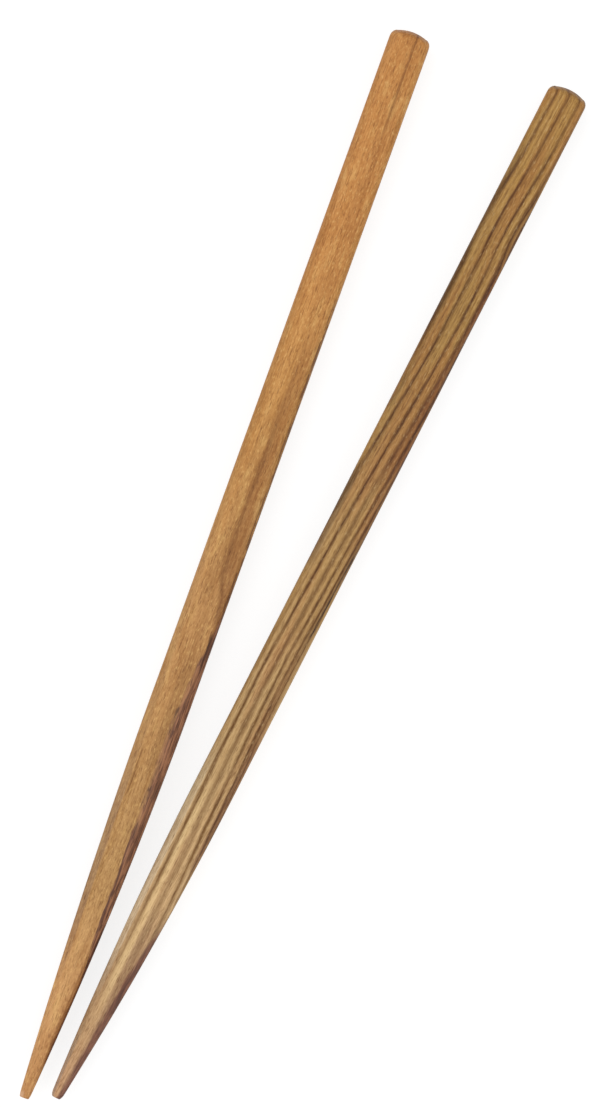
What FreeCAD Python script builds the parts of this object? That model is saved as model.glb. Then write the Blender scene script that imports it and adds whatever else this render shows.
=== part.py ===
"""A pair of wooden chopsticks lying on a table, in millimetres, +Z up.

Each stick is one solid, built along its own Z axis from the tip to the butt and then laid down:
a tapered tip with four planed facets, a straight handle with softened corners, and a domed butt.
The two sticks lie in a narrow V with their tips together, towards -Y.
"""
import FreeCAD, Part
import math
import os

import Sketcher
from FreeCAD import Placement, Rotation, Vector

# Driving dimensions: millimetres, and degrees for the angle
DIMENSIONS = {
    # Left stick
    "left_length": 230.3,
    "left_tip_width": 2.25,
    "left_handle_width": 8.48,
    "left_taper_length": 86.0,
    "left_shoulder_bevel": 1.60,
    "left_tip_drift": 0.69,
    # Right stick
    "right_length": 229.7,
    "right_tip_width": 2.40,
    "right_handle_width": 8.50,
    "right_taper_length": 71.0,
    "right_shoulder_bevel": 1.35,
    "right_tip_drift": 0.14,
    # Sizes that both sticks share
    "thickness": 8.40,
    "tip_bevel": 0.55,
    "tip_softness": 0.32,
    "shoulder_softness": 0.80,
    "handle_bevel": 1.10,
    "handle_softness": 1.50,
    "runout_length": 22.0,
    "dome_radius": 8.6,
    "butt_rounding": 1.65,
    "tip_rounding": 0.25,
    # How the pair lies
    "spread_angle": 7.16,
    "tip_spacing": 5.90,
    "tip_stagger": 2.60,
}

SIDES = ("left", "right")

# Where the taper's cross-sections stand, as shares of the taper's length, between tip and shoulder
TAPER_STATIONS = (0.0, 0.15, 0.35, 0.60, 0.80, 1.0)

# Edges no further than this from the tip's plane bound its end face
TIP_TOLERANCE = 0.001

EIGHTH_TURN = math.pi / 4

# The sketch solver's numbers for a curve's points, and for the sketch's own axes
START, END, MIDDLE = range(1, 4)
X_AXIS, Y_AXIS = range(-1, -3, -1)

doc = FreeCAD.newDocument("chopsticks")
sheet = doc.addObject("Spreadsheet::Sheet", "sizes")
for row, (name, value) in enumerate(DIMENSIONS.items(), start=1):
    sheet.set(f"A{row}", name)
    sheet.set(f"B{row}", str(value))
    sheet.setAlias(f"B{row}", name)
doc.recompute()


def cell(name):
    """The expression that reads one size from the sheet."""
    return f"sizes.{name}"


def blend(start, end, share):
    """The expression for a value that goes from start to end, at a share of the way."""
    return f"(({start}) + (({end}) - ({start})) * {share:.6f})"


def origin_plane(body, role):
    """One of the body's own origin planes."""
    return next(o for o in body.Origin.OriginFeatures if o.Role == role)


def octagon_outline(half_width, half_depth, bevel, softness):
    """Eight straight edges, counter-clockwise from the +X side, and the eight arcs that join them."""
    quarter = [(half_width, half_depth - bevel), (half_width - bevel, half_depth)]
    corners = quarter + [(-x, y) for x, y in reversed(quarter)]
    corners += [(-x, -y) for x, y in corners]
    setback = softness * math.tan(EIGHTH_TURN / 2)
    edges = []
    arcs = []
    for i in range(8):
        start = Vector(*corners[i - 1])
        end = Vector(*corners[i])
        along = (end - start).normalize()
        edges.append(Part.LineSegment(start + along * setback, end - along * setback))
        middle = (i + 0.5) * EIGHTH_TURN
        inward = Vector(math.cos(middle), math.sin(middle)) * (softness / math.cos(EIGHTH_TURN / 2))
        circle = Part.Circle(end - inward, Vector(0, 0, 1), softness)
        arcs.append(Part.ArcOfCircle(circle, i * EIGHTH_TURN, (i + 1) * EIGHTH_TURN))
    return edges + arcs


def section_sketch(body, name, station, shift, width, depth, bevel, softness):
    """A cross-section of the stick: a square with bevelled corners and softened edges.

    It stands at a station along the stick, shifted sideways from the handle's axis."""
    sketch = body.newObject("Sketcher::SketchObject", name)
    sketch.AttachmentSupport = [(origin_plane(body, "XY_Plane"), "")]
    sketch.MapMode = "FlatFace"
    sketch.setExpression("AttachmentOffset.Base.x", shift)
    sketch.setExpression("AttachmentOffset.Base.z", station)

    half_width = f"({width}) / 2"
    half_depth = f"({depth}) / 2"
    sizes = [sketch.evalExpression(e) for e in (half_width, half_depth, bevel, softness)]
    sketch.addGeometry(octagon_outline(*sizes), False)

    for i in range(8):
        sketch.addConstraint(Sketcher.Constraint("Tangent", i, END, 8 + i, START))
        sketch.addConstraint(Sketcher.Constraint("Tangent", 8 + i, END, (i + 1) % 8, START))
    for arc in range(9, 16):
        sketch.addConstraint(Sketcher.Constraint("Equal", 8, arc))
    for upright in (0, 4):
        sketch.addConstraint(Sketcher.Constraint("Vertical", upright))
    for level in (2, 6):
        sketch.addConstraint(Sketcher.Constraint("Horizontal", level))
    sketch.addConstraint(Sketcher.Constraint("Angle", 1, 3 * EIGHTH_TURN))
    sketch.addConstraint(Sketcher.Constraint("Perpendicular", 1, 3))
    sketch.addConstraint(Sketcher.Constraint("Parallel", 1, 5))
    sketch.addConstraint(Sketcher.Constraint("Parallel", 3, 7))
    for facet in (3, 5, 7):
        sketch.addConstraint(Sketcher.Constraint("Equal", 1, facet))

    facet_reach = f"(({half_width}) + ({half_depth}) - ({bevel})) / sqrt(2)"
    reaches = (
        ("right_side", 0, half_width),
        ("left_side", 4, half_width),
        ("under_side", 2, half_depth),
        ("upper_side", 6, half_depth),
        ("facet", 1, facet_reach),
    )
    for reach_name, line, expression in reaches:
        distance = sketch.evalExpression(expression)
        index = sketch.addConstraint(Sketcher.Constraint("Distance", X_AXIS, START, line, distance))
        sketch.renameConstraint(index, reach_name)
        sketch.setExpression(f"Constraints.{reach_name}", expression)
    index = sketch.addConstraint(Sketcher.Constraint("Radius", 8, sizes[3]))
    sketch.renameConstraint(index, "softness")
    sketch.setExpression("Constraints.softness", softness)
    return sketch


def taper_sections(body, side):
    """Sections from the tip to the shoulder. Every size swells from its tip value to its shoulder
    value along one parabola, so the taper runs into the handle without a kink. The taper is planed
    by hand, so its tip lies a little to the left of the handle's axis."""
    sketches = []
    for number, share in enumerate(TAPER_STATIONS):
        swell = 1 - (1 - share) ** 2
        sketches.append(section_sketch(
            body, f"{side}_taper_section_{number}",
            station=f"{cell(side + '_taper_length')} * {share:.6f}",
            shift=blend("-" + cell(side + "_tip_drift"), "0", swell),
            width=blend(cell(side + "_tip_width"), cell(side + "_handle_width"), swell),
            depth=blend(cell(side + "_tip_width"), cell("thickness"), swell),
            bevel=blend(cell("tip_bevel"), cell(side + "_shoulder_bevel"), swell),
            softness=blend(cell("tip_softness"), cell("shoulder_softness"), swell),
        ))
    return sketches


def handle_section(body, side):
    """The section of the straight handle, where the planed facets have run out."""
    return section_sketch(
        body, f"{side}_handle_section",
        station=f"{cell(side + '_taper_length')} + {cell('runout_length')}",
        shift="0",
        width=cell(side + "_handle_width"),
        depth=cell("thickness"),
        bevel=cell("handle_bevel"),
        softness=cell("handle_softness"),
    )


def loft(body, name, sections):
    """A smooth solid through the sections."""
    feature = body.newObject("PartDesign::AdditiveLoft", name)
    feature.Profile = sections[0]
    feature.Sections = sections[1:]
    feature.Ruled = False
    return feature


def straight_handle(body, side, section):
    """The handle, extruded from its section to the sawn end, which leaves the butt's rounding to spare."""
    feature = body.newObject("PartDesign::Pad", f"{side}_handle")
    feature.Profile = section
    start = f"{cell(side + '_taper_length')} + {cell('runout_length')}"
    feature.setExpression("Length", f"{cell(side + '_length')} + {cell('butt_rounding')} - ({start})")
    return feature


def dome_profile(body, side):
    """The half-outline of the wood that is cut away to leave a domed butt, in the stick's XZ plane."""
    sketch = body.newObject("Sketcher::SketchObject", f"{side}_dome_profile")
    sketch.AttachmentSupport = [(origin_plane(body, "XZ_Plane"), "")]
    sketch.MapMode = "FlatFace"
    length = sketch.evalExpression(cell(side + "_length"))
    radius = sketch.evalExpression(cell("dome_radius"))
    width = sketch.evalExpression(cell(side + "_handle_width"))
    spare_height = f"2 * {cell('butt_rounding')}"
    spare = sketch.evalExpression(spare_height)

    centre = Vector(0, length - radius)
    apex = Vector(0, length)
    side_point = Vector(radius, length - radius)
    outer_low = Vector(radius + width, length - radius)
    outer_high = Vector(radius + width, length + spare)
    top = Vector(0, length + spare)
    circle = Part.Circle(centre, Vector(0, 0, 1), radius)
    sketch.addGeometry([
        Part.ArcOfCircle(circle, 0, math.pi / 2),
        Part.LineSegment(apex, top),
        Part.LineSegment(top, outer_high),
        Part.LineSegment(outer_high, outer_low),
        Part.LineSegment(outer_low, side_point),
    ], False)
    arc, rise, lid, wall, floor = range(5)
    for joined in (
        Sketcher.Constraint("Coincident", arc, END, rise, START),
        Sketcher.Constraint("Coincident", rise, END, lid, START),
        Sketcher.Constraint("Coincident", lid, END, wall, START),
        Sketcher.Constraint("Coincident", wall, END, floor, START),
        Sketcher.Constraint("Coincident", floor, END, arc, START),
        Sketcher.Constraint("PointOnObject", arc, MIDDLE, Y_AXIS),
        Sketcher.Constraint("PointOnObject", arc, END, Y_AXIS),
        Sketcher.Constraint("Vertical", rise),
        Sketcher.Constraint("Horizontal", lid),
        Sketcher.Constraint("Vertical", wall),
        Sketcher.Constraint("Horizontal", floor),
        Sketcher.Constraint("Horizontal", arc, MIDDLE, arc, START),
    ):
        sketch.addConstraint(joined)
    sized = (
        ("apex_height", cell(side + "_length"), ("DistanceY", X_AXIS, START, arc, END, length)),
        ("dome_radius", cell("dome_radius"), ("Radius", arc, radius)),
        ("cut_width", cell(side + "_handle_width"), ("Distance", floor, width)),
        ("cut_height", spare_height, ("Distance", rise, spare)),
    )
    for name, expression, constraint in sized:
        index = sketch.addConstraint(Sketcher.Constraint(*constraint))
        sketch.renameConstraint(index, name)
        sketch.setExpression(f"Constraints.{name}", expression)
    return sketch


def cut_dome(body, side):
    """Shapes the sawn end into a dome by turning the profile about the stick's axis."""
    feature = body.newObject("PartDesign::Groove", f"{side}_dome")
    profile = dome_profile(body, side)
    feature.Profile = profile
    feature.ReferenceAxis = (profile, ["V_Axis"])
    feature.Angle = 360
    body.Tip = feature
    return feature


def edge_names(shape, wanted):
    """The names, such as Edge3, of the shape's edges that pass the test."""
    return [f"Edge{i}" for i, edge in enumerate(shape.Edges, start=1) if wanted(edge)]


def rim_of_dome(shape):
    """The names of the edges where the dome meets the handle's sides."""
    domes = [f for f in shape.Faces if isinstance(f.Surface, Part.Sphere)]
    others = [f for f in shape.Faces if not isinstance(f.Surface, Part.Sphere)]

    def is_rim(edge):
        on_dome = any(e.isSame(edge) for f in domes for e in f.Edges)
        on_side = any(e.isSame(edge) for f in others for e in f.Edges)
        return on_dome and on_side

    return edge_names(shape, is_rim)


def edges_of_tip(shape):
    """The names of the edges round the tip's end face."""
    return edge_names(shape, lambda edge: edge.BoundBox.ZMax < TIP_TOLERANCE)


def round_edges(body, name, base, edges, radius_expression):
    """A fillet along the named edges of the feature before it."""
    feature = body.newObject("PartDesign::Fillet", name)
    feature.Base = (base, edges)
    feature.setExpression("Radius", radius_expression)
    body.Tip = feature
    return feature


def chopstick(side):
    """One stick, standing on its tip at the origin, with its butt up the Z axis."""
    body = doc.addObject("PartDesign::Body", f"{side}_chopstick")
    body.Label = f"{side}_chopstick"
    taper = taper_sections(body, side)
    section = handle_section(body, side)
    loft(body, f"{side}_taper", taper)
    loft(body, f"{side}_runout", [taper[-1], section])
    sawn = straight_handle(body, side, section)
    doc.recompute()
    sawn_volume = sawn.Shape.Volume
    dome = cut_dome(body, side)
    doc.recompute()
    if not dome.Shape.Volume < sawn_volume:
        raise RuntimeError(f"the dome cut nothing from the {side} stick")
    butt = round_edges(body, f"{side}_butt_edge", dome, rim_of_dome(dome.Shape), cell("butt_rounding"))
    doc.recompute()
    round_edges(body, f"{side}_tip_edge", butt, edges_of_tip(butt.Shape), cell("tip_rounding"))
    doc.recompute()
    return body


def lay_down(bodies):
    """Lays both sticks on their undersides in a V, and centres the pair on the origin."""
    half_spread = sheet.spread_angle / 2
    rise = Vector(0, 0, sheet.thickness / 2)
    lying = Rotation(Vector(1, 0, 0), -90)
    tips = {
        "left": Vector(-sheet.tip_spacing / 2, 0, 0),
        "right": Vector(sheet.tip_spacing / 2, sheet.tip_stagger, 0),
    }
    turns = {"left": half_spread, "right": -half_spread}
    drifts = {"left": sheet.left_tip_drift, "right": sheet.right_tip_drift}
    for side, body in bodies.items():
        heading = Rotation(Vector(0, 0, 1), turns[side]) * lying
        axis_foot = heading.multVec(Vector(drifts[side], 0, 0))
        body.Placement = Placement(tips[side] + axis_foot + rise, heading)
    doc.recompute()
    box = FreeCAD.BoundBox()
    for body in bodies.values():
        box.add(body.Shape.optimalBoundingBox(False))
    to_origin = Vector(-box.Center.x, -box.Center.y, 0)
    for body in bodies.values():
        body.Placement.Base = body.Placement.Base + to_origin
    doc.recompute()


def check(bodies):
    """Stops on any failed feature, and on any stick that isn't one valid solid."""
    failed = [o.Name for o in doc.Objects if "Invalid" in o.State or "Error" in o.State]
    if failed:
        raise RuntimeError(f"failed features: {failed}")
    for body in bodies.values():
        shape = body.Shape
        if shape.isNull() or not shape.isValid() or len(shape.Solids) != 1:
            raise RuntimeError(f"{body.Label} isn't one valid solid")


def export(bodies):
    """Writes each stick to its own STEP file."""
    os.makedirs("parts", exist_ok=True)
    for body in bodies.values():
        body.Shape.exportStep(f"parts/{body.Label}.step")
        box = body.Shape.optimalBoundingBox(False)
        print(f"{body.Label}: {body.Shape.Volume:.0f} mm3, x {box.XMin:.2f} to {box.XMax:.2f}, "
              f"y {box.YMin:.2f} to {box.YMax:.2f}, z {box.ZMin:.3f} to {box.ZMax:.3f}")


sticks = {side: chopstick(side) for side in SIDES}
lay_down(sticks)
check(sticks)
export(sticks)
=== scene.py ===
"""Looks of the pair of wooden chopsticks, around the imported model.

Lengths are millimetres in the tables and in each stick's own frame, and metres in the meshes.
A stick's own frame has x across it and y along it from the tip. Its z goes up, from the stick's middle in the
meshes and from the surface that the stick lies on in the shaders.
"""

import math
from dataclasses import dataclass

import bpy
import numpy as np
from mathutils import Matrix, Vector, noise


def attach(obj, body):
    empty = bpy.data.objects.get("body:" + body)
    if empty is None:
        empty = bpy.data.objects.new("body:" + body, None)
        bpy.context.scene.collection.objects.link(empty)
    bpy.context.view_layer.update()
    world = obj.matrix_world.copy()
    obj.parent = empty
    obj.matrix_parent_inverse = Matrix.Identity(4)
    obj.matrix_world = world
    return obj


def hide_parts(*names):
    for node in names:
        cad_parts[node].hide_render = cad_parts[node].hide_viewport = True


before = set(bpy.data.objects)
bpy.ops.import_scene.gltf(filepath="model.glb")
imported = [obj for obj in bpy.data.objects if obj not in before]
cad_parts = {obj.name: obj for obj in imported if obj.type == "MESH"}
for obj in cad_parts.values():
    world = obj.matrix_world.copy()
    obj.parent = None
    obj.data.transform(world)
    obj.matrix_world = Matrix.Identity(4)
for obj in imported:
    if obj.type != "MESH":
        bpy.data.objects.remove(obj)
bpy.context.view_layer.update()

MM = 0.001
EIGHTH_TURN = math.pi / 4


@dataclass
class Stick:
    """The sizes of one stick as in the model, where its tip lies, its wear and the start of its noise."""
    node: str
    tip: tuple
    heading: float
    length: float
    tip_width: float
    handle_width: float
    taper_length: float
    shoulder_bevel: float
    tip_drift: float
    tip_wear: float
    seed: float


LEFT = Stick(
    node="left_chopstick",
    tip=(-3.347, -115.902),
    heading=3.58,
    length=230.3,
    tip_width=2.25,
    handle_width=8.48,
    taper_length=86.0,
    shoulder_bevel=1.60,
    tip_drift=0.69,
    tip_wear=0.12,
    seed=11.0,
)
RIGHT = Stick(
    node="right_chopstick",
    tip=(2.551, -113.302),
    heading=-3.58,
    length=229.7,
    tip_width=2.40,
    handle_width=8.50,
    taper_length=71.0,
    shoulder_bevel=1.35,
    tip_drift=0.14,
    tip_wear=0.26,
    seed=47.0,
)

# Sizes that both sticks share
THICKNESS = 8.40
TIP_BEVEL = 0.55
TIP_SOFTNESS = 0.32
SHOULDER_SOFTNESS = 0.80
HANDLE_BEVEL = 1.10
HANDLE_SOFTNESS = 1.50
RUNOUT_LENGTH = 22.0
DOME_RADIUS = 8.6
BUTT_ROUNDING = 1.65
TIP_ROUNDING = 0.25

# Mesh density: points on each wide side, on each bevel and on each softened edge, and rows along a stick
SIDE_POINTS = 22
BEVEL_POINTS = 8
EDGE_POINTS = 5
ROWS = 520
ROUNDING_ROWS = 5
DOME_RINGS = 10
TIP_RINGS = 3

# Where the straight rows stop, short of the rounded butt
BUTT_MARGIN = 2.8

# The tip's last stretch, over which its corners are worn round, and the rows along it
WORN_LENGTH = 1.2
WORN_ROWS = 6

# How much of the butt is worn away
BUTT_WEAR = 0.03

# The planing marks and the grain: how deep each goes, and how large its features are across and along
PLANING_DEPTH = 0.07
PLANING_SIZE = (3.5, 24.0)
GRAIN_DEPTH = 0.035
RIDGE_SIZE = (0.45, 11.0)
RIPPLE_SIZE = (0.30, 2.2)

# How much of the grain's depth its ridges and its finer ripples make, to either side of the middle
RIDGE_SHARE = 0.35
RIPPLE_SHARE = 0.15


def axis_foot(stick):
    """Where the handle's axis, carried on to the tip's end, meets the tip's plane."""
    turn = math.radians(stick.heading)
    return (
        stick.tip[0] + stick.tip_drift * math.cos(turn),
        stick.tip[1] + stick.tip_drift * math.sin(turn),
    )


def lerp(start, end, share):
    return start + (end - start) * share


def section_sizes(stick, station):
    """Half-width, half-depth, bevel, softness and sideways shift of the cross-section at a station."""
    share = min(station / stick.taper_length, 1.0)
    swell = 1 - (1 - share) ** 2
    half_width = lerp(stick.tip_width, stick.handle_width, swell) / 2
    half_depth = lerp(stick.tip_width, THICKNESS, swell) / 2
    bevel = lerp(TIP_BEVEL, stick.shoulder_bevel, swell)
    softness = lerp(TIP_SOFTNESS, SHOULDER_SOFTNESS, swell)
    shift = -stick.tip_drift * (1 - swell)
    runout = (station - stick.taper_length) / RUNOUT_LENGTH
    if runout > 0:
        bevel = lerp(bevel, HANDLE_BEVEL, min(runout, 1.0))
        softness = lerp(softness, HANDLE_SOFTNESS, min(runout, 1.0))
    return half_width, half_depth, bevel, softness, shift


def outline(half_width, half_depth, bevel, softness):
    """Points and outward normals round a square with bevelled corners and softened edges."""
    quarter = [(half_width, half_depth - bevel), (half_width - bevel, half_depth)]
    corners = quarter + [(-x, y) for x, y in reversed(quarter)]
    corners = np.array(corners + [(-x, -y) for x, y in corners])
    setback = softness * math.tan(EIGHTH_TURN / 2)
    points = []
    normals = []
    for i in range(8):
        start = corners[i - 1]
        end = corners[i]
        along = (end - start) / np.linalg.norm(end - start)
        facing = np.array((math.cos(i * EIGHTH_TURN), math.sin(i * EIGHTH_TURN)))
        count = SIDE_POINTS if i % 2 == 0 else BEVEL_POINTS
        for k in range(count):
            points.append(lerp(start + along * setback, end - along * setback, k / count))
            normals.append(facing)
        middle = (i + 0.5) * EIGHTH_TURN
        inward = np.array((math.cos(middle), math.sin(middle))) * softness / math.cos(EIGHTH_TURN / 2)
        for k in range(EDGE_POINTS):
            angle = (i + k / EDGE_POINTS) * EIGHTH_TURN
            facing = np.array((math.cos(angle), math.sin(angle)))
            points.append(end - inward + facing * softness)
            normals.append(facing)
    return np.array(points), np.array(normals)


def side_ring(stick, station):
    """One ring of the sides: points of the stick's own frame, all at the same station."""
    half_width, half_depth, bevel, softness, shift = section_sizes(stick, station)
    points, normals = outline(half_width, half_depth, bevel, softness)
    stations = np.full(len(points), station)
    return np.column_stack((points[:, 0] + shift, stations, points[:, 1])), normals


def butt_rings(stick):
    """The rings that round the butt's edge over and run up the dome to its middle."""
    ring, normals = side_ring(stick, stick.length)
    wall = ring[:, (0, 2)]
    reach = np.linalg.norm(wall, axis=1)
    lean = np.arcsin(reach / DOME_RADIUS)
    fall = DOME_RADIUS - np.sqrt(DOME_RADIUS ** 2 - reach ** 2)
    end = stick.length - BUTT_WEAR
    foot = end - fall - BUTT_ROUNDING * np.tan((math.pi / 2 - lean) / 2)
    rings = []
    for k in range(ROUNDING_ROWS + 1):
        angle = (math.pi / 2 - lean) * k / ROUNDING_ROWS
        inset = BUTT_ROUNDING * (1 - np.cos(angle))
        place = wall - normals * inset[:, None]
        rings.append(np.column_stack((place[:, 0], foot + BUTT_ROUNDING * np.sin(angle), place[:, 1])))
    rim = rings[-1][:, (0, 2)]
    for k in range(1, DOME_RINGS):
        place = rim * (1 - k / DOME_RINGS)
        drop = DOME_RADIUS - np.sqrt(DOME_RADIUS ** 2 - (place ** 2).sum(axis=1))
        rings.append(np.column_stack((place[:, 0], end - drop, place[:, 1])))
    return rings, normals


def tip_rings(stick):
    """The rings from the middle of the tip's flat end out over its rounded edge, up to the sides."""
    ring, normals = side_ring(stick, TIP_ROUNDING)
    wall = ring[:, (0, 2)]
    rings = []
    for k in range(ROUNDING_ROWS):
        angle = math.pi / 2 * (1 - k / ROUNDING_ROWS)
        place = wall - normals * TIP_ROUNDING * (1 - math.cos(angle))
        height = np.full(len(place), TIP_ROUNDING * (1 - math.sin(angle)))
        rings.append(np.column_stack((place[:, 0], height, place[:, 1])))
    centre = np.array((-stick.tip_drift, 0.0))
    rim = rings[0][:, (0, 2)]
    flat = []
    for k in range(1, TIP_RINGS):
        place = lerp(centre, rim, k / TIP_RINGS)
        flat.append(np.column_stack((place[:, 0], np.zeros(len(place)), place[:, 1])))
    return flat + rings, normals


def stick_rings(stick):
    """All the rings of one stick from the tip to the butt, each with its outward normals."""
    first, tip_normals = tip_rings(stick)
    last, butt_normals = butt_rings(stick)
    worn_stations = np.linspace(TIP_ROUNDING, WORN_LENGTH, WORN_ROWS, endpoint=False)
    plain_stations = np.linspace(WORN_LENGTH, stick.length - BUTT_MARGIN, ROWS)
    rings = [(ring, tip_normals) for ring in first]
    for station in (*worn_stations, *plain_stations):
        rings.append(side_ring(stick, station))
    return rings + [(ring, butt_normals) for ring in last]


def surface_noise(stick, size, x, y, z):
    """Noise to either side of 0 whose features are long in the wood's direction."""
    across, along = size
    return noise.noise(Vector((x / across, y / along + stick.seed, z / across)))


def relief(stick, x, y, z):
    """How deep the surface lies under its true form: uneven planing, then the grain."""
    planing = surface_noise(stick, PLANING_SIZE, x, y, z)
    ridges = surface_noise(stick, RIDGE_SIZE, x, y, z)
    ripples = surface_noise(stick, RIPPLE_SIZE, x, y, z)
    grain = 0.5 + RIDGE_SHARE * ridges + RIPPLE_SHARE * ripples
    return PLANING_DEPTH * (0.5 + 0.5 * planing) + GRAIN_DEPTH * grain


def worn(stick, x, y, z):
    """A point near the tip, drawn in towards the tip's middle by wear."""
    share = max(1 - y / WORN_LENGTH, 0.0)
    narrowing = 1 - stick.tip_wear * share ** 2
    return (x + stick.tip_drift) * narrowing - stick.tip_drift, y, z * narrowing


def lay_down(stick, points):
    """Points of the stick's own frame, turned and moved to where it lies, in metres."""
    turn = math.radians(stick.heading)
    foot = axis_foot(stick)
    placed = []
    for x, y, z in points:
        placed.append((
            (foot[0] + x * math.cos(turn) - y * math.sin(turn)) * MM,
            (foot[1] + x * math.sin(turn) + y * math.cos(turn)) * MM,
            (THICKNESS / 2 + z) * MM,
        ))
    return placed


def stick_mesh(stick):
    """A closed mesh of one stick, its rings joined row by row and both ends closed."""
    rings = stick_rings(stick)
    vertices = []
    for ring, normals in rings:
        for (x, y, z), (normal_x, normal_z) in zip(ring, normals):
            depth = relief(stick, x, y, z)
            vertices.append(worn(stick, x - normal_x * depth, y, z - normal_z * depth))
    around = len(rings[0][0])
    faces = []
    for row in range(len(rings) - 1):
        for k in range(around):
            here = row * around + k
            beside = row * around + (k + 1) % around
            faces.append((here, here + around, beside + around, beside))
    tip_centre = len(vertices)
    vertices.append((-stick.tip_drift, 0.0, 0.0))
    butt_centre = len(vertices)
    vertices.append((0.0, stick.length - BUTT_WEAR, 0.0))
    final_row = (len(rings) - 1) * around
    for k in range(around):
        beside = (k + 1) % around
        faces.append((tip_centre, k, beside))
        faces.append((butt_centre, final_row + beside, final_row + k))
    mesh = bpy.data.meshes.new(stick.node + "_wood")
    mesh.from_pydata(lay_down(stick, vertices), [], faces)
    mesh.validate()
    mesh.polygons.foreach_set("use_smooth", [True] * len(mesh.polygons))
    return mesh


def linear(red, green, blue):
    """A colour written as it looks on screen, from 0 to 255, turned into the shader's numbers."""
    def channel(value):
        share = value / 255
        return share / 12.92 if share <= 0.04045 else ((share + 0.055) / 1.055) ** 2.4
    return (channel(red), channel(green), channel(blue), 1.0)


# Curves and ramps along a stick span this length, and a curve's results this far either way
CURVE_LENGTH = 240.0
CURVE_REACH = 10.0


class Nodes:
    """Short ways to add a material's nodes and join them."""

    def __init__(self, tree):
        self.tree = tree
        self.tree.nodes.clear()

    def feed(self, socket, value):
        if isinstance(value, bpy.types.NodeSocket):
            self.tree.links.new(value, socket)
        else:
            socket.default_value = value

    def add(self, kind, inputs, **settings):
        node = self.tree.nodes.new(kind)
        for name, value in settings.items():
            setattr(node, name, value)
        for key, value in inputs.items():
            self.feed(node.inputs[key], value)
        return node

    def math(self, operation, first, second=0.0):
        return self.add("ShaderNodeMath", {0: first, 1: second}, operation=operation).outputs[0]

    def total(self, first, *others):
        for other in others:
            first = self.math("ADD", first, other)
        return first

    def product(self, first, *others):
        for other in others:
            first = self.math("MULTIPLY", first, other)
        return first

    def highest(self, first, *others):
        for other in others:
            first = self.math("MAXIMUM", first, other)
        return first

    def fade(self, value, start, end, at_start=0.0, at_end=1.0):
        """Changes smoothly while value goes from start to end, and stays as it is beyond both."""
        inputs = {"Value": value, "From Min": start, "From Max": end, "To Min": at_start, "To Max": at_end}
        return self.add("ShaderNodeMapRange", inputs, interpolation_type="SMOOTHSTEP").outputs["Result"]

    def window(self, value, start, end, margin):
        """1 between start and end, fading to 0 over the margin outside them."""
        rise = self.fade(value, start - margin, start)
        drop = self.fade(value, end, end + margin, 1.0, 0.0)
        return self.product(rise, drop)

    def peak(self, value, centre, reach):
        """1 where value is at the centre, fading to 0 at the reach to either side."""
        distance = self.math("ABSOLUTE", self.math("SUBTRACT", value, centre))
        return self.fade(distance, 0.0, reach, 1.0, 0.0)

    def curve(self, value, points):
        """A smooth curve of value through given points, each a (place along the stick, result)."""
        node = self.add("ShaderNodeFloatCurve", {"Value": self.math("DIVIDE", value, CURVE_LENGTH)})
        line = node.mapping.curves[0]
        while len(line.points) < len(points):
            line.points.new(0.5, 0.5)
        for point, (along, result) in zip(line.points, points):
            point.location = (along / CURVE_LENGTH, 0.5 + result / (2 * CURVE_REACH))
        node.mapping.update()
        centred = self.math("SUBTRACT", node.outputs["Value"], 0.5)
        return self.product(centred, 2 * CURVE_REACH)

    def mix(self, factor, first, second, blend="MIX"):
        inputs = {0: factor, 6: first, 7: second}
        return self.add("ShaderNodeMix", inputs, data_type="RGBA", blend_type=blend).outputs[2]

    def tint(self, colour, factor, multiplier):
        """The colour, multiplied channel by channel where the factor is 1."""
        return self.mix(factor, colour, (*multiplier, 1.0), "MULTIPLY")

    def pair(self, first, second):
        """A flat point from two values."""
        return self.add("ShaderNodeCombineXYZ", {0: first, 1: second}).outputs[0]

    def grain(self, point, across, along, detail=2.0):
        """Noise from 0 to 1 whose features are long in the wood's direction, sizes in millimetres."""
        scale = (1 / across, 1 / along, 1 / across)
        stretched = self.add("ShaderNodeVectorMath", {0: point, 1: scale}, operation="MULTIPLY").outputs[0]
        inputs = {"Vector": stretched, "Scale": 1.0, "Detail": detail, "Roughness": 0.55}
        return self.add("ShaderNodeTexNoise", inputs).outputs["Fac"]

    def waver(self, point, across, along, spread, detail=2.0):
        """The same noise to either side of 0, times the spread."""
        centred = self.math("SUBTRACT", self.grain(point, across, along, detail), 0.5)
        return self.product(centred, spread)

    def along_ramp(self, value, stops):
        """Colours that blend along the stick, each stop a (place along it, colour)."""
        node = self.add("ShaderNodeValToRGB", {0: self.math("DIVIDE", value, CURVE_LENGTH)})
        band = node.color_ramp
        band.interpolation = "EASE"
        while len(band.elements) < len(stops):
            band.elements.new(1.0)
        for element, (along, colour) in zip(band.elements, stops):
            element.position = along / CURVE_LENGTH
            element.color = linear(*colour)
        return node.outputs["Color"]


@dataclass
class Place:
    """Where a point of the surface lies in the stick's own frame, and how much it faces right, as sockets."""
    point: object
    across: object
    along: object
    up: object
    facing: object


def place_in_stick(nodes, stick):
    """Turns the object's coordinates into the stick's own frame, in millimetres."""
    foot = axis_foot(stick)
    turn = math.radians(stick.heading)
    inputs = {
        "Vector": nodes.add("ShaderNodeTexCoord", {}).outputs["Object"],
        "Location": (foot[0] * MM, foot[1] * MM, 0.0),
        "Rotation": (0.0, 0.0, turn),
        "Scale": (MM, MM, MM),
    }
    point = nodes.add("ShaderNodeMapping", inputs, vector_type="TEXTURE").outputs["Vector"]
    parts = nodes.add("ShaderNodeSeparateXYZ", {0: point}).outputs
    normal = nodes.add("ShaderNodeNewGeometry", {}).outputs["Normal"]
    sideways = {0: normal, 1: (math.cos(turn), math.sin(turn), 0.0)}
    facing = nodes.add("ShaderNodeVectorMath", sideways, operation="DOT_PRODUCT").outputs["Value"]
    return Place(point, parts[0], parts[1], parts[2], facing)


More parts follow.
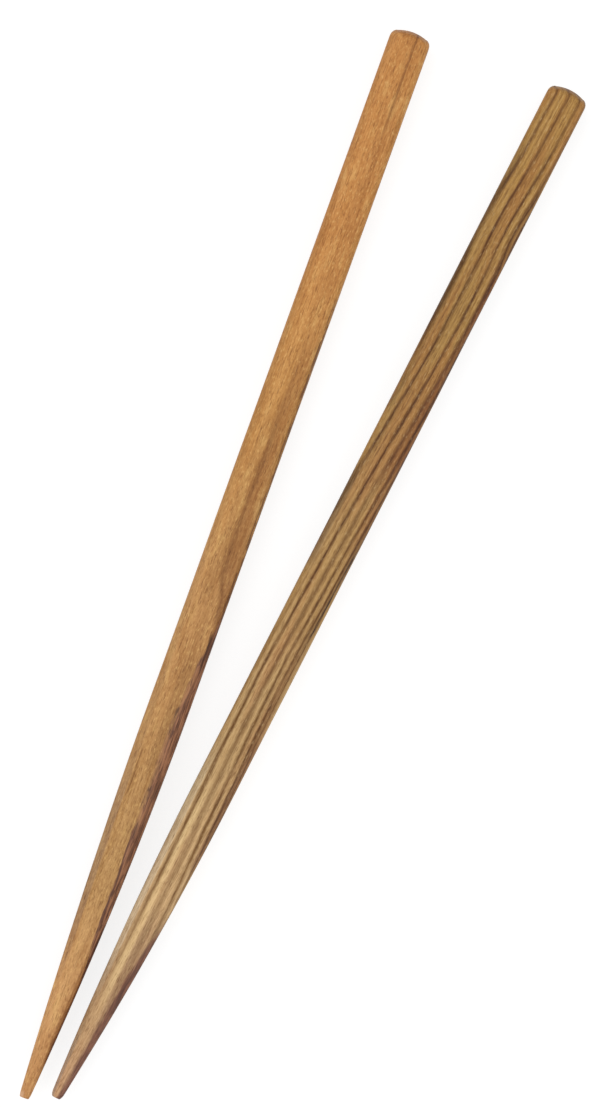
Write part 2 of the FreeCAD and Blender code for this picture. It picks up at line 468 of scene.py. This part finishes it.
def growth_rings(nodes, place, wander, pith, wobble):
    """Distance across the growth rings, in millimetres from the ring that the wander follows on top."""
    waves = nodes.waver(place.point, across=5.0, along=14.0, spread=wobble, detail=1.0)
    shifted = nodes.total(nodes.math("SUBTRACT", place.across, wander), waves)
    sideways = nodes.math("SUBTRACT", shifted, pith[0])
    upwards = nodes.math("SUBTRACT", place.up, pith[1])
    squares = nodes.total(nodes.math("POWER", sideways, 2.0), nodes.math("POWER", upwards, 2.0))
    radius = math.hypot(pith[0], pith[1] - THICKNESS)
    return nodes.math("SUBTRACT", nodes.math("SQRT", squares), radius)


# The oiled surface that both woods share, its bump height in millimetres
ROUGHNESS_LOW = 0.46
ROUGHNESS_HIGH = 0.62
SPECULAR_LEVEL = 0.28
BUMP_HEIGHT = 0.05
BUMP_STRENGTH = 0.6
FINE_GRAIN_SHARE = 0.6
GROOVE_SHARE = 0.8


def wood_surface(nodes, place, colour, grooves):
    """The shader that both woods share: oiled, with the fine grain and the grooves as bump."""
    fine = nodes.product(nodes.grain(place.point, across=0.16, along=3.5), FINE_GRAIN_SHARE)
    height = nodes.math("SUBTRACT", fine, nodes.product(grooves, GROOVE_SHARE))
    bump_inputs = {"Height": height, "Strength": BUMP_STRENGTH, "Distance": BUMP_HEIGHT * MM}
    bump = nodes.add("ShaderNodeBump", bump_inputs)
    patches = nodes.grain(place.point, across=0.6, along=9.0)
    inputs = {
        "Base Color": colour,
        "Roughness": nodes.fade(patches, 0.3, 0.7, ROUGHNESS_LOW, ROUGHNESS_HIGH),
        "Specular IOR Level": SPECULAR_LEVEL,
        "Normal": bump.outputs["Normal"],
    }
    shader = nodes.add("ShaderNodeBsdfPrincipled", inputs)
    nodes.add("ShaderNodeOutputMaterial", {"Surface": shader.outputs["BSDF"]})


def new_material(name):
    material = bpy.data.materials.new(name)
    material.use_nodes = True
    return material, Nodes(material.node_tree)


# How much an open pore darkens the wood, channel by channel, and how soft its border is
PORE_TINT = (0.42, 0.32, 0.24)
PORE_SOFTNESS = 0.07


def pores(nodes, place, across, along, threshold):
    """Short dark dashes of open pores: 1 inside a pore, 0 outside."""
    specks = nodes.grain(place.point, across, along, detail=1.0)
    return nodes.fade(specks, threshold, threshold + PORE_SOFTNESS)


# How far short of the butt's end the wood begins to darken, where it is darkest, and its tint there: partly
# the end grain's own tone, partly painted shade
END_GRAIN_START = 1.9
END_GRAIN_FULL = 0.5
END_GRAIN_AND_SHADE_TINT = (0.70, 0.64, 0.58)


def end_grain_and_shade(nodes, stick, along, colour):
    """The butt's end is darker: partly the end grain taking up more oil, partly painted shade of the rounded
    end, which faces away from the light.
    """
    oiled_and_shaded = nodes.fade(along, stick.length - END_GRAIN_START, stick.length - END_GRAIN_FULL)
    return nodes.tint(colour, oiled_and_shaded, END_GRAIN_AND_SHADE_TINT)


# Where each wood's pith lies, to the side of the stick's axis and above the surface that it lies on
LIGHT_PITH = (-26.0, 30.0)
DARK_PITH = (-40.0, 24.8)


def light_wood(stick):
    """Warm honey-coloured wood with a dark streak along part of its right side."""
    material, nodes = new_material("light_wood")
    place = place_in_stick(nodes, stick)
    colour = light_ground(nodes, place)
    colour = light_veils(nodes, place, colour)
    colour, open_pores = light_flecks(nodes, place, colour)
    colour = brown_band(nodes, place, colour)
    colour, streak_pores = dark_streak(nodes, place, colour)
    colour = light_right_edge_shade(nodes, place, colour)
    colour = light_marks(nodes, place, colour)
    colour = light_bevels(nodes, place, colour)
    colour = end_grain_and_shade(nodes, stick, place.along, colour)
    wood_surface(nodes, place, colour, nodes.highest(open_pores, streak_pores))
    return material


def light_ground(nodes, place):
    """Plain colour: greyer where the taper ends, more orange on the handle, duller right of the middle."""
    across, along = place.across, place.along
    colour = nodes.along_ramp(along, [
        (0, (201, 147, 93)),
        (20, (205, 153, 99)),
        (50, (190, 146, 91)),
        (100, (190, 140, 85)),
        (150, (201, 146, 81)),
        (190, (199, 138, 74)),
    ])
    wander = nodes.waver(place.point, across=6.0, along=60.0, spread=2.0, detail=1.0)
    ring = growth_rings(nodes, place, wander, LIGHT_PITH, wobble=0.8)
    bands = nodes.grain(nodes.pair(ring, along), across=0.9, along=90.0)
    colour = nodes.tint(colour, nodes.fade(bands, 0.42, 0.72), (0.87, 0.82, 0.74))
    return nodes.tint(colour, nodes.fade(across, -1.1, 0.9, at_end=0.5), (0.80, 0.77, 0.72))


def light_veils(nodes, place, colour):
    """Thin darker veils: left of the brown band, above the dark streak, and right of the tip's middle."""
    across, along = place.across, place.along
    middle = nodes.window(across, -1.5, 0.0, margin=0.4)
    middle = nodes.product(middle, nodes.window(along, 114.0, 142.0, margin=10.0))
    right = nodes.window(across, 0.1, 2.2, margin=0.6)
    right = nodes.product(right, nodes.window(along, 76.0, 92.0, margin=8.0))
    colour = nodes.tint(colour, nodes.highest(middle, right), (0.87, 0.86, 0.84))
    by_the_tip = nodes.product(nodes.fade(across, 0.1, 0.8), nodes.window(along, 9.0, 19.0, margin=6.0))
    return nodes.tint(colour, by_the_tip, (0.83, 0.77, 0.70))


def light_flecks(nodes, place, colour):
    """Cloudy patches, streaks, flecks and pores."""
    clouds = nodes.grain(place.point, across=1.5, along=7.0)
    colour = nodes.tint(colour, nodes.fade(clouds, 0.50, 0.70), (0.88, 0.84, 0.78))
    colour = nodes.mix(nodes.fade(clouds, 0.44, 0.28, at_end=0.22), colour, linear(238, 196, 122))
    streaks = nodes.grain(place.point, across=0.28, along=9.0)
    colour = nodes.tint(colour, nodes.fade(streaks, 0.42, 0.78), (0.80, 0.74, 0.66))
    flecks = nodes.grain(place.point, across=0.36, along=1.0, detail=3.0)
    colour = nodes.tint(colour, nodes.fade(flecks, 0.52, 0.72), (0.80, 0.74, 0.66))
    colour = nodes.mix(nodes.fade(flecks, 0.47, 0.28, at_end=0.34), colour, linear(238, 194, 122))
    short_pores = pores(nodes, place, across=0.15, along=1.9, threshold=0.62)
    long_pores = pores(nodes, place, across=0.22, along=4.0, threshold=0.66)
    open_pores = nodes.highest(short_pores, long_pores)
    return nodes.tint(colour, nodes.product(open_pores, 0.6), PORE_TINT), open_pores


def brown_band(nodes, place, colour):
    """The brown band that leaves the right edge slantwise and runs up the middle of the stick."""
    across, along = place.across, place.along
    middle = nodes.curve(along, [
        (0, 4.4), (100, 3.5), (108, 2.7), (116, 0.9), (135, 0.9), (160, 1.1), (240, 1.2),
    ])
    waves = nodes.waver(place.point, across=1.2, along=8.0, spread=0.5)
    offset = nodes.total(nodes.math("SUBTRACT", across, middle), waves)
    shade = nodes.product(nodes.fade(offset, -0.9, 0.3), nodes.fade(offset, 0.6, 3.6, 1.0, 0.7))
    shade = nodes.product(shade, nodes.window(along, 108.0, 150.0, margin=22.0))
    colour = nodes.tint(colour, nodes.product(shade, 0.62), (0.66, 0.57, 0.52))
    core = nodes.peak(offset, 0.0, reach=0.95)
    core = nodes.product(core, nodes.window(along, 115.0, 142.0, margin=16.0))
    return nodes.tint(colour, nodes.product(core, 0.75), (0.58, 0.50, 0.40))


def dark_streak(nodes, place, colour):
    """The dark streak along the right edge, with its ragged border, dark pores and a nearly black dash."""
    along, up = place.along, place.up
    border = nodes.curve(along, [
        (0, 1.6), (20, 2.3), (40, 1.6), (57, 1.65), (66, 1.4), (74, 1.5), (81, 1.35), (89, 2.0), (96, 2.7),
        (104, 3.8), (120, 5.2), (240, 6.0),
    ])
    ragged = nodes.total(place.across, nodes.waver(place.point, across=0.5, along=5.0, spread=1.3))
    beyond = nodes.math("SUBTRACT", ragged, border)
    streak = nodes.product(nodes.fade(beyond, -0.12, 0.2), nodes.window(along, 30.0, 102.0, margin=10.0))
    streak = nodes.product(streak, nodes.fade(up, 2.2, 4.2))
    streak_grain = nodes.fade(nodes.grain(place.point, across=0.42, along=6.5), 0.35, 0.62)
    streak_colour = nodes.mix(streak_grain, linear(160, 110, 80), linear(104, 67, 52))
    thinner = nodes.fade(beyond, 0.3, 1.1, at_start=0.45, at_end=0.0)
    thinner = nodes.product(thinner, nodes.window(along, 62.0, 90.0, margin=5.0))
    strength = nodes.product(streak, nodes.math("SUBTRACT", 0.92, thinner))
    colour = nodes.mix(strength, colour, streak_colour)

    # Its border, its pores and the dash
    border_line = nodes.peak(beyond, 0.22, reach=0.4)
    border_line = nodes.product(border_line, nodes.window(along, 40.0, 58.0, margin=3.0), 0.6)
    colour = nodes.mix(border_line, colour, linear(84, 50, 38))
    streak_pores = nodes.product(streak, pores(nodes, place, across=0.32, along=3.6, threshold=0.55))
    colour = nodes.mix(nodes.product(streak_pores, 0.65), colour, linear(62, 38, 32))
    dash = nodes.product(nodes.peak(ragged, 3.3, reach=0.5), nodes.window(along, 95.0, 100.5, margin=2.0))
    dash = nodes.product(dash, nodes.fade(up, 5.5, 6.5), 0.85)
    return nodes.mix(dash, colour, linear(60, 34, 26)), streak_pores


def light_right_edge_shade(nodes, place, colour):
    """By the tip the right bevel is darker, and its outer edge darkest: painted shade of the right side,
    which turns away from the light.
    """
    along = place.along
    # Painted shade on the bevel that faces right
    bevel = nodes.product(nodes.fade(place.facing, 0.15, 0.6), nodes.window(along, 14.0, 28.0, margin=8.0))
    colour = nodes.tint(colour, bevel, (0.80, 0.73, 0.68))
    outer_edge = nodes.curve(along, [
        (0, 0.43), (10, 1.27), (20, 1.99), (30, 2.62), (40, 3.13), (50, 3.57), (240, 9.0),
    ])
    # Painted shade along the outer edge, where the side turns away from the light
    rim = nodes.fade(nodes.math("SUBTRACT", place.across, outer_edge), -0.62, -0.30)
    rim = nodes.product(rim, nodes.window(along, 10.0, 34.0, margin=6.0))
    return nodes.tint(colour, rim, (0.42, 0.32, 0.26))


def light_marks(nodes, place, colour):
    """Dark dashes by the right edge, a fine line near the butt, and a scratch."""
    across, along = place.across, place.along
    dashes = pores(nodes, place, across=0.40, along=3.0, threshold=0.42)
    dashes = nodes.product(dashes, nodes.window(across, 3.72, 4.25, margin=0.15))
    dashes = nodes.product(dashes, nodes.window(along, 100.0, 170.0, margin=6.0))
    dashes = nodes.product(dashes, nodes.fade(place.up, 5.2, 6.0))
    colour = nodes.mix(nodes.product(dashes, 0.7), colour, linear(84, 50, 34))
    shaky = nodes.total(across, nodes.waver(place.point, across=0.5, along=5.0, spread=0.5))
    hairline = nodes.product(nodes.peak(shaky, 1.28, reach=0.38), nodes.fade(along, 204.0, 214.0))
    scratch = nodes.product(nodes.peak(shaky, -2.1, reach=0.24), nodes.window(along, 66.0, 74.0, margin=2.0))
    return nodes.tint(colour, nodes.product(nodes.highest(hairline, scratch), 0.75), (0.45, 0.36, 0.26))


def light_bevels(nodes, place, colour):
    """The left bevel greyer with a painted bluish sheen, most of all where the taper ends, and darker on the
    handle with painted shade, the handle's right bevel paler with painted light, and pale spots above the tip
    and at its left corner."""
    across, along = place.across, place.along
    left_bevel = nodes.fade(place.facing, -0.15, -0.55)
    # Painted bluish sheen on the left bevel, strongest where the taper ends
    painted_bluish_sheen = nodes.product(left_bevel, nodes.window(along, 40.0, 62.0, margin=18.0))
    colour = nodes.tint(colour, painted_bluish_sheen, (0.82, 0.84, 1.05))
    # Painted shade on the left bevel along the handle
    colour = nodes.tint(colour, nodes.product(left_bevel, nodes.fade(along, 60.0, 90.0)), (0.94, 0.95, 0.98))
    glow = nodes.product(nodes.peak(across, -0.6, reach=1.7), nodes.window(along, 21.0, 36.0, margin=7.0))
    colour = nodes.mix(nodes.product(glow, 0.12), colour, linear(234, 190, 124))
    # Painted light on the handle's right bevel, lifting its shade
    lifted_right_bevel = nodes.product(nodes.fade(place.facing, 0.15, 0.55), nodes.fade(along, 110.0, 130.0))
    colour = nodes.tint(colour, lifted_right_bevel, (1.10, 1.18, 1.28))
    corner = nodes.product(nodes.fade(along, 0.5, 1.8, 1.0, 0.0), nodes.fade(across, -0.7, -1.3))
    return nodes.mix(nodes.product(corner, 0.6), colour, linear(226, 184, 150))


@dataclass
class GrowthLine:
    """A dark line of the growth rings: its place across them, its width, how dark it is at its middle, and
    how far and how strongly a softer shade follows it on its right."""
    place: float
    width: float
    strength: float
    shade_width: float
    shade: float


GROWTH_LINES = (
    GrowthLine(-7.30, 0.52, 0.90, 0.9, 0.30),
    GrowthLine(-4.60, 0.54, 0.90, 0.6, 0.30),
    GrowthLine(-3.50, 0.30, 0.35, 0.4, 0.10),
    GrowthLine(-2.30, 0.56, 1.00, 1.1, 0.42),
    GrowthLine(-1.10, 0.30, 0.30, 0.4, 0.10),
    GrowthLine(0.00, 0.58, 1.00, 0.6, 0.30),
    GrowthLine(1.80, 0.85, 0.72, 0.9, 0.24),
    GrowthLine(3.25, 0.56, 0.95, 0.9, 0.42),
    GrowthLine(4.50, 0.56, 1.00, 1.9, 0.62),
    GrowthLine(5.30, 0.40, 0.85, 0.8, 0.50),
    GrowthLine(7.20, 0.56, 0.90, 1.0, 0.40),
)

# How far to the left of a line its soft shade begins
SHADE_LEAD = 0.2

# The places across the rings of the bump on the handle, and of the line with black dashes
BUMP_PLACE = 2.15
DASHED_PLACE = 5.30


def dark_grained_wood(stick):
    """Olive-tan wood with strong dark growth lines and a purple-brown right side by the tip."""
    material, nodes = new_material("dark_grained_wood")
    place = place_in_stick(nodes, stick)
    ring = line_rings(nodes, place)
    colour = dark_ground(nodes, place, ring)
    colour = dark_tones(nodes, place, ring, colour)
    colour, lines = growth_lines(nodes, place, ring, colour)
    colour, open_pores = dark_flecks(nodes, place, colour)
    colour = dark_side_and_shade(nodes, place, colour)
    colour = dark_left_edge(nodes, place, colour)
    colour = dark_right_edge(nodes, place, colour)
    colour = end_grain_and_shade(nodes, stick, place.along, colour)
    wood_surface(nodes, place, colour, nodes.highest(open_pores, nodes.product(lines, 0.7)))
    return material


def line_rings(nodes, place):
    """The growth rings, which follow the strongest line: it drifts over the face from left to right, and
    the rings swerve round a spot by the right edge of the handle and spread out towards the tip."""
    across, along = place.across, place.along
    wander = nodes.curve(along, [
        (0, -0.1), (17, -0.6), (29, -1.13), (48, -1.65), (67, -2.12), (90, -2.50), (115, -1.87), (146, -0.36),
        (169, 1.17), (188, 1.55), (197, 1.30), (217, 2.44), (240, 2.80),
    ])
    swerve = nodes.product(nodes.peak(along, 198.0, reach=9.0), nodes.fade(across, 1.0, 3.0), 0.6)
    ring = growth_rings(nodes, place, nodes.math("SUBTRACT", wander, swerve), DARK_PITH, wobble=0.25)
    spread = nodes.curve(along, [
        (0, 0.74), (25, 0.75), (70, 0.88), (105, 1.0), (135, 0.98), (165, 1.0), (240, 0.98),
    ])
    return nodes.product(ring, spread)


def dark_ground(nodes, place, ring):
    """Plain colour: pale above the tip, darker and more olive towards the handle, striped and patchy."""
    along = place.along
    colour = nodes.along_ramp(along, [
        (0, (199, 156, 117)),
        (20, (197, 158, 114)),
        (45, (211, 175, 127)),
        (85, (194, 158, 107)),
        (120, (182, 143, 88)),
        (175, (171, 131, 70)),
        (228, (176, 133, 69)),
    ])
    stripes = nodes.grain(nodes.pair(ring, along), across=0.42, along=60.0, detail=3.0)
    colour = nodes.tint(colour, nodes.fade(stripes, 0.46, 0.76), (0.80, 0.74, 0.66))
    colour = nodes.mix(nodes.fade(stripes, 0.44, 0.26, at_end=0.30), colour, linear(226, 192, 132))
    patches = nodes.fade(nodes.grain(place.point, across=2.6, along=32.0, detail=1.0), 0.42, 0.66)
    patches = nodes.product(patches, nodes.fade(along, 60.0, 110.0, at_start=0.4))
    return nodes.tint(colour, patches, (0.93, 0.81, 0.77))


def dark_tones(nodes, place, ring, colour):
    """Broad tones: a pale strip above the tip and a duller one beside it, a reddish wedge on the handle, and
    a brown patch by the right edge where the taper ends."""
    along = place.along
    pale = nodes.window(ring, 0.35, 0.95, margin=0.4)
    pale = nodes.product(pale, nodes.window(along, 28.0, 62.0, margin=12.0))
    colour = nodes.mix(nodes.product(pale, 0.36), colour, linear(238, 208, 150))
    duller = nodes.product(nodes.fade(ring, 0.8, 1.5), nodes.window(along, 4.0, 34.0, margin=14.0))
    colour = nodes.tint(colour, nodes.product(duller, 0.8), (0.72, 0.68, 0.72))
    reddish = nodes.product(nodes.fade(ring, 1.3, 1.9), nodes.window(along, 148.0, 184.0, margin=9.0))
    colour = nodes.tint(colour, nodes.product(reddish, 0.9), (0.72, 0.56, 0.50))
    brown = nodes.product(nodes.fade(place.across, 2.7, 3.1), nodes.window(along, 57.0, 80.0, margin=6.0))
    return nodes.tint(colour, nodes.product(brown, nodes.fade(place.up, 4.5, 6.5)), (0.70, 0.60, 0.57))


def growth_lines(nodes, place, ring, colour):
    """The dark lines, fainter at both ends, with a bump on the handle and black dashes along one of them."""
    along = place.along
    line_place = nodes.total(ring, nodes.waver(place.point, across=0.8, along=4.0, spread=0.30))
    strongest = 0.0
    for line in GROWTH_LINES:
        core = nodes.product(nodes.peak(line_place, line.place, line.width), line.strength)
        rise = nodes.fade(line_place, line.place - SHADE_LEAD, line.place)
        drop = nodes.fade(line_place, line.place, line.place + line.shade_width, line.shade, 0.0)
        strongest = nodes.highest(core, nodes.product(rise, drop), strongest)
    bump = nodes.peak(line_place, BUMP_PLACE, reach=0.5)
    bump = nodes.product(bump, nodes.window(along, 186.0, 206.0, margin=6.0))
    strongest = nodes.highest(strongest, bump)
    broken = nodes.fade(nodes.grain(place.point, across=0.7, along=18.0), 0.30, 0.55, at_start=0.60)
    by_the_tip = nodes.fade(along, 6.0, 64.0, at_start=0.15)
    by_the_butt = nodes.fade(along, 204.0, 218.0, at_start=1.0, at_end=0.78)
    strongest = nodes.product(strongest, broken, by_the_tip, by_the_butt)
    colour = nodes.tint(colour, strongest, (0.24, 0.14, 0.02))
    dashes = nodes.peak(line_place, DASHED_PLACE, reach=0.5)
    dashes = nodes.product(dashes, nodes.window(along, 108.0, 124.0, margin=3.0))
    dashes = nodes.product(dashes, pores(nodes, place, across=0.4, along=5.0, threshold=0.42))
    dashes = nodes.product(dashes, nodes.fade(place.up, 5.8, 6.8))
    return nodes.mix(nodes.product(dashes, 0.9), colour, linear(44, 26, 18)), strongest


def dark_flecks(nodes, place, colour):
    """Fine grain, flecks and pores."""
    streaks = nodes.grain(place.point, across=0.22, along=8.0)
    colour = nodes.tint(colour, nodes.fade(streaks, 0.42, 0.75), (0.78, 0.72, 0.64))
    flecks = nodes.grain(place.point, across=0.28, along=1.2, detail=3.0)
    colour = nodes.tint(colour, nodes.fade(flecks, 0.52, 0.72), (0.80, 0.76, 0.70))
    colour = nodes.mix(nodes.fade(flecks, 0.46, 0.28, at_end=0.22), colour, linear(228, 196, 142))
    open_pores = pores(nodes, place, across=0.14, along=2.4, threshold=0.60)
    return nodes.tint(colour, nodes.product(open_pores, 0.55), PORE_TINT), open_pores


def dark_side_and_shade(nodes, place, colour):
    """The purple-brown right side by the tip, partly the wood's own colour and partly painted shade of the
    right facet, with a nearly black spot in it.
    """
    along = place.along
    border = nodes.curve(along, [
        (0, 0.1), (6, 0.40), (12, 0.75), (19, 1.05), (29, 1.65), (38, 2.80), (46, 3.7), (60, 6.0), (240, 6.0),
    ])
    ragged = nodes.total(place.across, nodes.waver(place.point, across=0.6, along=6.0, spread=1.1))
    beyond = nodes.math("SUBTRACT", ragged, border)
    # Partly the wood's own purple-brown, partly painted shade of the right facet by the tip
    side = nodes.product(nodes.fade(beyond, -0.4, 0.4), nodes.fade(along, 36.0, 46.0, 1.0, 0.0))
    side_grain = nodes.fade(nodes.grain(place.point, across=0.4, along=5.0), 0.35, 0.65)
    side_colour_and_shade = nodes.mix(side_grain, linear(128, 82, 64), linear(84, 48, 40))
    colour = nodes.mix(nodes.product(side, 0.88), colour, side_colour_and_shade)
    spot = nodes.product(nodes.peak(ragged, 2.1, reach=0.7), nodes.peak(along, 25.0, reach=6.0))
    return nodes.mix(nodes.product(spot, 0.7), colour, linear(62, 30, 24))


def dark_left_edge(nodes, place, colour):
    """The left bevel: greyer by the tip with a painted bluish sheen, paler above it with a painted highlight,
    browner further up and darker beyond that with painted shade, with a dark outer edge for a short stretch,
    painted shade of the side."""
    along = place.along
    bevel = nodes.fade(place.facing, -0.15, -0.55)
    # Painted bluish sheen on the left bevel by the tip
    tip_bluish_sheen = nodes.product(bevel, nodes.fade(along, 8.0, 20.0, at_start=1.0, at_end=0.0))
    colour = nodes.tint(colour, tip_bluish_sheen, (0.88, 1.0, 1.25))
    # Painted highlight on the left bevel above the tip
    bevel_highlight = nodes.product(bevel, nodes.window(along, 30.0, 70.0, margin=14.0))
    colour = nodes.tint(colour, bevel_highlight, (1.10, 1.26, 1.6))
    browner = nodes.product(bevel, nodes.window(along, 124.0, 138.0, margin=7.0))
    colour = nodes.tint(colour, browner, (0.74, 0.76, 0.90))
    outer_edge = nodes.curve(along, [
        (0, -1.2), (15, -2.3), (22, -2.7), (30, -3.05), (45, -3.6), (240, -4.2),
    ])
    # Painted shade of the side along the outer edge, for a short stretch
    rim = nodes.fade(nodes.math("SUBTRACT", place.across, outer_edge), 0.1, 0.5, at_start=1.0, at_end=0.0)
    rim = nodes.product(rim, nodes.window(along, 18.0, 29.0, margin=4.0))
    colour = nodes.tint(colour, nodes.product(rim, 0.4), (0.50, 0.44, 0.40))
    # Painted shade on the left bevel further up the handle
    shaded_bevel = nodes.product(bevel, nodes.window(along, 160.0, 212.0, margin=8.0))
    return nodes.tint(colour, nodes.product(shaded_bevel, 0.7), (0.72, 0.74, 0.80))


def dark_right_edge(nodes, place, colour):
    """The right bevel, darker along the handle."""
    bevel = nodes.fade(place.facing, 0.15, 0.6)
    darker = nodes.product(bevel, nodes.window(place.along, 122.0, 205.0, margin=8.0))
    return nodes.tint(colour, nodes.product(darker, 0.75), (0.74, 0.66, 0.64))


def add_stick(stick, material):
    piece = bpy.data.objects.new(stick.node + "_wood", stick_mesh(stick))
    bpy.context.scene.collection.objects.link(piece)
    piece.data.materials.append(material)
    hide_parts(stick.node)
    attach(piece, "root")


# The floor, a little below the sticks so that the two surfaces don't meet, and its half-width in metres
FLOOR_DROP = 0.02
FLOOR_REACH = 4.0

# How much of the light the floor sends back, and how the camera sees it: shadowed part and glow
FLOOR_BOUNCE = 0.75
FLOOR_SHADE = 0.28
FLOOR_GLOW = 0.80

SKY_STRENGTH = 0.75


def seen_directly(nodes):
    """1 for rays from the camera, in mirrors and through glass."""
    rays = nodes.add("ShaderNodeLightPath", {}).outputs
    return nodes.highest(rays["Is Camera Ray"], rays["Is Glossy Ray"], rays["Is Transmission Ray"])


def add_floor():
    corners = []
    for x, y in ((-1, -1), (1, -1), (1, 1), (-1, 1)):
        corners.append((x * FLOOR_REACH, y * FLOOR_REACH, -FLOOR_DROP * MM))
    mesh = bpy.data.meshes.new("floor")
    mesh.from_pydata(corners, [], [(0, 1, 2, 3)])
    material, nodes = new_material("floor")
    bounce = nodes.add("ShaderNodeBsdfDiffuse", {"Color": (FLOOR_BOUNCE, FLOOR_BOUNCE, FLOOR_BOUNCE, 1.0)})
    shade = nodes.add("ShaderNodeBsdfDiffuse", {"Color": (FLOOR_SHADE, FLOOR_SHADE, FLOOR_SHADE, 1.0)})
    glow = nodes.add("ShaderNodeEmission", {"Strength": FLOOR_GLOW})
    seen = nodes.add("ShaderNodeAddShader", {0: shade.outputs[0], 1: glow.outputs[0]})
    choice = {0: seen_directly(nodes), 1: bounce.outputs[0], 2: seen.outputs[0]}
    surface = nodes.add("ShaderNodeMixShader", choice)
    nodes.add("ShaderNodeOutputMaterial", {"Surface": surface.outputs[0]})
    mesh.materials.append(material)
    floor = bpy.data.objects.new("floor", mesh)
    bpy.context.scene.collection.objects.link(floor)


def add_sky():
    """White behind everything, and soft light from all round."""
    world = bpy.data.worlds.new("studio")
    bpy.context.scene.world = world
    world.use_nodes = True
    nodes = Nodes(world.node_tree)
    strength = nodes.fade(seen_directly(nodes), 0.0, 1.0, SKY_STRENGTH, 1.0)
    sky = nodes.add("ShaderNodeBackground", {"Color": (1.0, 1.0, 1.0, 1.0), "Strength": strength})
    nodes.add("ShaderNodeOutputWorld", {"Surface": sky.outputs[0]})


def add_softbox(name, place, size, power):
    """A square softbox at a place in metres, facing the middle of the sticks."""
    lamp = bpy.data.lights.new(name, "AREA")
    lamp.shape = "SQUARE"
    lamp.size = size
    lamp.energy = power
    holder = bpy.data.objects.new(name, lamp)
    holder.location = place
    holder.rotation_euler = Vector(place).to_track_quat("Z", "Y").to_euler()
    bpy.context.scene.collection.objects.link(holder)


# The photograph looks straight down, turned this much about the vertical, in degrees
CAMERA_ROLL = 23.463

# The point under the middle of the picture, and how much of the world its long side shows
VIEW_CENTRE = (4.09, 7.68)
VIEW_LENGTH = 224.96
CAMERA_HEIGHT = 1500.0
SENSOR = 36.0


def add_camera():
    camera = bpy.data.cameras.new("camera")
    camera.sensor_width = SENSOR
    camera.lens = SENSOR * CAMERA_HEIGHT / VIEW_LENGTH
    holder = bpy.data.objects.new("camera", camera)
    holder.location = (VIEW_CENTRE[0] * MM, VIEW_CENTRE[1] * MM, (CAMERA_HEIGHT + THICKNESS / 2) * MM)
    holder.rotation_euler = (0.0, 0.0, math.radians(CAMERA_ROLL))
    bpy.context.scene.collection.objects.link(holder)
    bpy.context.scene.camera = holder


add_stick(LEFT, light_wood(LEFT))
add_stick(RIGHT, dark_grained_wood(RIGHT))
add_floor()
add_sky()
add_softbox("key", place=(-0.75, 0.30, 1.35), size=1.1, power=6.0)
add_softbox("fill", place=(0.90, -0.20, 1.10), size=1.0, power=3.0)
add_camera()
bpy.context.scene.view_settings.view_transform = "Standard"
